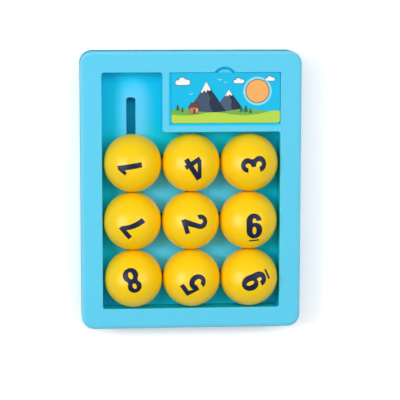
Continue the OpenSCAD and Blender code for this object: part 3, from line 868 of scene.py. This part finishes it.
print_layers = [
    ("sky", (0.003, 0.495, 0.799, 1), [sky]),
    ("sun_halo", (0.300, 0.720, 0.870, 1), [sun_halo]),
    ("sun", (0.930, 0.420, 0.110, 1), [sun_disc]),
    ("peaks", (0.060, 0.075, 0.130, 1), [peak_one]),
    ("peaks_front", (0.078, 0.098, 0.165, 1), [peak_two]),
    ("peaks_shade", (0.020, 0.022, 0.045, 1), [shade_one, shade_two]),
    ("back_hill", (0.180, 0.420, 0.045, 1), [back_hill]),
    ("firs", (0.020, 0.140, 0.060, 1), firs),
    ("hut_wall", (0.620, 0.215, 0.070, 1), [hut_wall]),
    ("hut_roof", (0.180, 0.045, 0.030, 1), [hut_roof, hut_door]),
    ("hut_light", (0.950, 0.720, 0.180, 1), [hut_light]),
    ("front_hill", (0.480, 0.680, 0.045, 1), [front_hill]),
    ("white", (0.880, 0.880, 0.860, 1), [snow_one, snow_two] + clouds + birds),
]
key_loops = [sun_disc, hut_wall, hut_roof, snow_one, snow_two] + clouds


def card_print(label, ink_name, colour, paths, tree, layer, **sizes):
    """One pass of the screen print, a film of ink that rises above the passes before it."""
    card_ink = dressed(f"ink_{ink_name}", ink,
                       {"Colour": colour, "Under": board_cyan, "Cloud": 0.06, "Roughness": 0.34},
                       ink_shine, card_grain)
    middle = (card_low + card_high) / 2
    film_print = grown(f"print_{label}", flat_curve(label, paths), tree,
                       {"Place": (middle.x, middle.y, card_high.z), "Thickness": (layer + 1) * layer_t,
                        "Material": card_ink, **sizes})
    fit(film_print, "picture_card", "card_print")


for layer, (label, colour, paths) in enumerate(print_layers):
    card_print(label, label, colour, paths, flat, layer)
card_print("outlines", "key", key_dark, key_loops, line, len(print_layers), **{"Line Width": key_line})

# Table and studio: a plain white table top under a long soft box that leans towards the card end, so that
# the shadow falls to the near end, with a soft box to each side. Two more boxes light nothing and are only
# mirrored, as the glints on the balls. The white that shows is the table's own.
table_size = 0.36
table_white, table_bounce = (1.3, 1.3, 1.3, 1), (0.18, 0.18, 0.19, 1)
table_corners = [(x * table_size, y * table_size, 0) for x, y in box_path(-1, -1, 1, 1)]
table_mesh = bpy.data.meshes.new("table")
table_mesh.from_pydata(table_corners, [], [(0, 1, 2, 3)])
table_top = bpy.data.materials.new("table_top")
table_top.use_nodes = True
table_tree = table_top.node_tree


def seen_plainly(tree):
    """One for what the camera sees directly, in a reflection or through something clear; a socket."""
    path = add_node(tree, "ShaderNodeLightPath").outputs
    direct = maths(tree, "MAXIMUM", path["Is Camera Ray"], path["Is Glossy Ray"])
    return maths(tree, "MAXIMUM", direct, path["Is Transmission Ray"])


table_tone = mixed(table_tree, seen_plainly(table_tree), table_bounce, table_white)
table_shade = made(table_tree, "ShaderNodeBsdfDiffuse", {"Color": table_tone})
table_tree.links.new(table_shade, table_tree.nodes["Material Output"].inputs["Surface"])
table = add_piece("table", table_mesh, table_top)

# The room is a soft grey that lights the object. It is seen as white, and mirrored as white at the horizon
# and dim above.
room_light, room_horizon, room_above = 0.42, 1.0, 0.08
horizon_low, horizon_high = 0.05, 0.30
room = bpy.data.worlds.new("room")
scene.world = room
room.use_nodes = True
room_tree = room.node_tree
room_back = room_tree.nodes["Background"].inputs
room_way = made(room_tree, "ShaderNodeTexCoord", out="Generated")
room_rise = made(room_tree, "ShaderNodeSeparateXYZ", {"Vector": room_way}, "Z")
room_direct = made(room_tree, "ShaderNodeLightPath", out="Is Camera Ray")
room_top = made(room_tree, "ShaderNodeMix", {0: room_direct, 2: room_above, 3: room_horizon})
room_shown = made(room_tree, "ShaderNodeMapRange",
                  {"Value": room_rise, "From Min": horizon_low, "From Max": horizon_high,
                   "To Min": room_horizon, "To Max": room_top}, interpolation_type="SMOOTHSTEP")
room_level = made(room_tree, "ShaderNodeMix", {0: seen_plainly(room_tree), 2: room_light, 3: room_shown})
room_tree.links.new(room_level, room_back["Strength"])
room_back["Color"].default_value = white


def soft_box(name, direction, width, depth, power, mirrored=False):
    """Lamp one metre from the middle of the case, facing it, that either lights it or is mirrored in it."""
    lamp = bpy.data.lights.new(name, "AREA")
    lamp.shape = "RECTANGLE"
    lamp.size = width
    lamp.size_y = depth
    lamp.energy = power
    holder = bpy.data.objects.new(name, lamp)
    holder.visible_glossy = mirrored
    holder.visible_diffuse = not mirrored
    scene.collection.objects.link(holder)
    aim = Vector(direction).normalized()
    holder.location = aim
    holder.rotation_euler = aim.to_track_quat("Z", "Y").to_euler()


soft_box("long_box", (0.0, 0.40, 0.92), width=1.3, depth=0.30, power=2.8)
soft_box("left_box", (-0.66, 0.14, 0.74), width=0.30, depth=0.30, power=3.8)
soft_box("right_box", (0.62, 0.14, 0.77), width=0.30, depth=0.30, power=1.9)
soft_box("left_glint", (-0.69, 0.02, 0.72), width=0.70, depth=0.70, power=12.5, mirrored=True)
soft_box("right_glint", (0.57, 0.08, 0.82), width=0.60, depth=0.60, power=5.6, mirrored=True)

# The camera looks down on the face from a little towards the card end and the left.
camera_place = Vector((-54.0, 92.2, 703.7)) * mm
camera_ahead = Vector((0.0829, -0.1380, -0.9869)).normalized()
camera_side = Vector((0.9965, 0.0015, 0.0836))
camera = bpy.data.cameras.new("camera")
camera.sensor_width = 36
camera.lens = 145.53
camera.clip_start = 0.01
viewer = bpy.data.objects.new("camera", camera)
scene.collection.objects.link(viewer)
camera_right = (camera_side - camera_side.dot(camera_ahead) * camera_ahead).normalized()
camera_up = camera_right.cross(camera_ahead)
camera_turn = Matrix((camera_right, camera_up, -camera_ahead)).transposed().to_4x4()
viewer.matrix_world = Matrix.Translation(camera_place) @ camera_turn
scene.camera = viewer
scene.view_settings.view_transform = "Standard"
